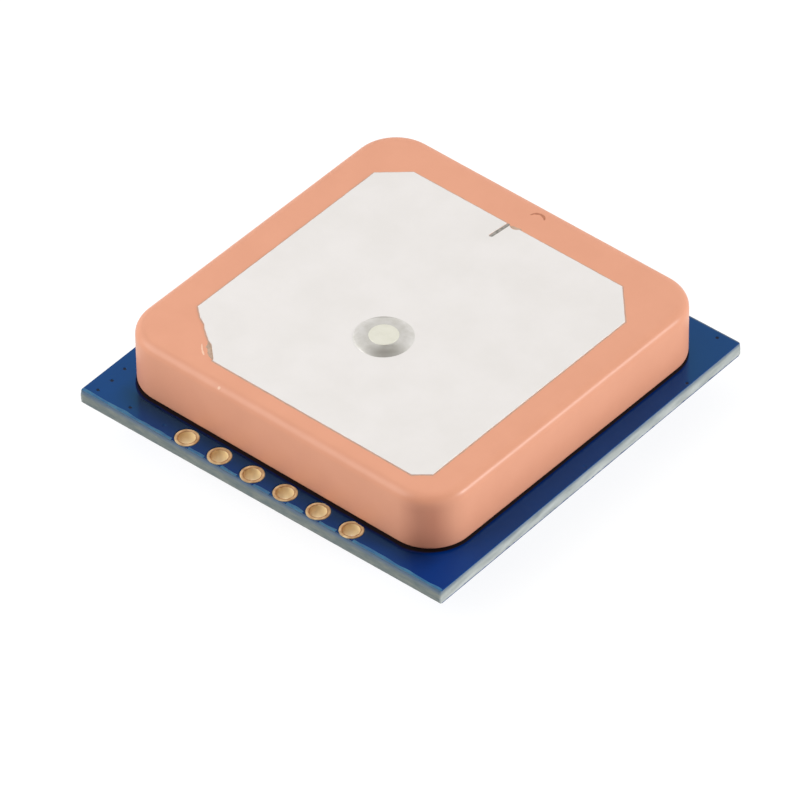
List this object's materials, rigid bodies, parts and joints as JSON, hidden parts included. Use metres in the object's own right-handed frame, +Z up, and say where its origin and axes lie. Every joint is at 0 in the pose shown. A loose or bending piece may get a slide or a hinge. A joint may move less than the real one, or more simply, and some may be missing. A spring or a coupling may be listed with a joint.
{
  "type": "gps module",
  "caption": "Square blue circuit board with a ceramic patch antenna on top, a row of plated pin holes at one edge and a shielded receiver below.",
  "frame": {"origin": "under the middle of the board, on the level of the outer face of the shield can, which it rests on", "axes": "+X along the row of pin holes, +Y from the pin holes to the opposite edge, +Z up through the antenna"},
  "size_m": [0.0278, 0.0282, 0.008],
  "materials": {
    "laminate": "glass-epoxy laminate, pale at its cut edge",
    "blue_lacquer": "blue solder mask lacquer, half gloss",
    "gold_plating": "thin gold plating over nickel and copper",
    "antenna_ceramic": "unglazed fine ceramic, smooth and slightly satin",
    "fired_silver": "silver paste printed and fired onto the ceramic, matt",
    "solder": "solder that has flowed and set, smooth and bright",
    "tinned_pin": "tinned brass",
    "tape": "foam tape with adhesive on both faces",
    "tinned_steel": "bright tinned sheet, pressed and folded",
    "chip_moulding": "black moulding compound, fine matt",
    "tinned_lead": "tin plating on copper alloy",
    "capacitor_ceramic": "fired ceramic, tan to brown",
    "resistor_glaze": "ceramic under a dark overglaze",
    "ferrite": "grey-black ferrite",
    "package_ceramic": "unglazed package ceramic",
    "cell_steel": "nickel-plated steel",
    "lamp_base": "white moulded plastic",
    "lamp_lens": "clear to milky cast resin"
  },
  "bodies": {
    "root": {"laminate": "laminate", "solder_mask_top": "blue_lacquer", "solder_mask_bottom": "blue_lacquer", "plated_holes": "gold_plating", "antenna_ceramic": "antenna_ceramic", "antenna_electrode": "fired_silver", "antenna_ground_electrode": "fired_silver", "feed_pin": "tinned_pin", "feed_solder_top": "solder", "feed_solder_bottom": "solder", "shield_solder": "solder", "component_solder": "solder", "solder_lands": "solder", "adhesive_tape": "tape", "shield_can": "tinned_steel", "receiver_chip": "chip_moulding", "memory_chip": "chip_moulding", "regulator": "chip_moulding", "low_noise_amplifier": "chip_moulding", "receiver_contacts": "tinned_lead", "memory_leads": "tinned_lead", "regulator_leads": "tinned_lead", "capacitor_ends": "tinned_lead", "resistor_ends": "tinned_lead", "inductor_ends": "tinned_lead", "backup_cell_tabs": "tinned_lead", "capacitor_bodies": "capacitor_ceramic", "resistor_bodies": "resistor_glaze", "inductor_bodies": "ferrite", "band_filter": "package_ceramic", "oscillator_base": "package_ceramic", "clock_crystal_base": "package_ceramic", "oscillator_lid": "tinned_steel", "clock_crystal_lid": "tinned_steel", "backup_cell": "cell_steel", "status_lamp_base": "lamp_base", "status_lamp_lens": "lamp_lens"}
  },
  "joints": []
}
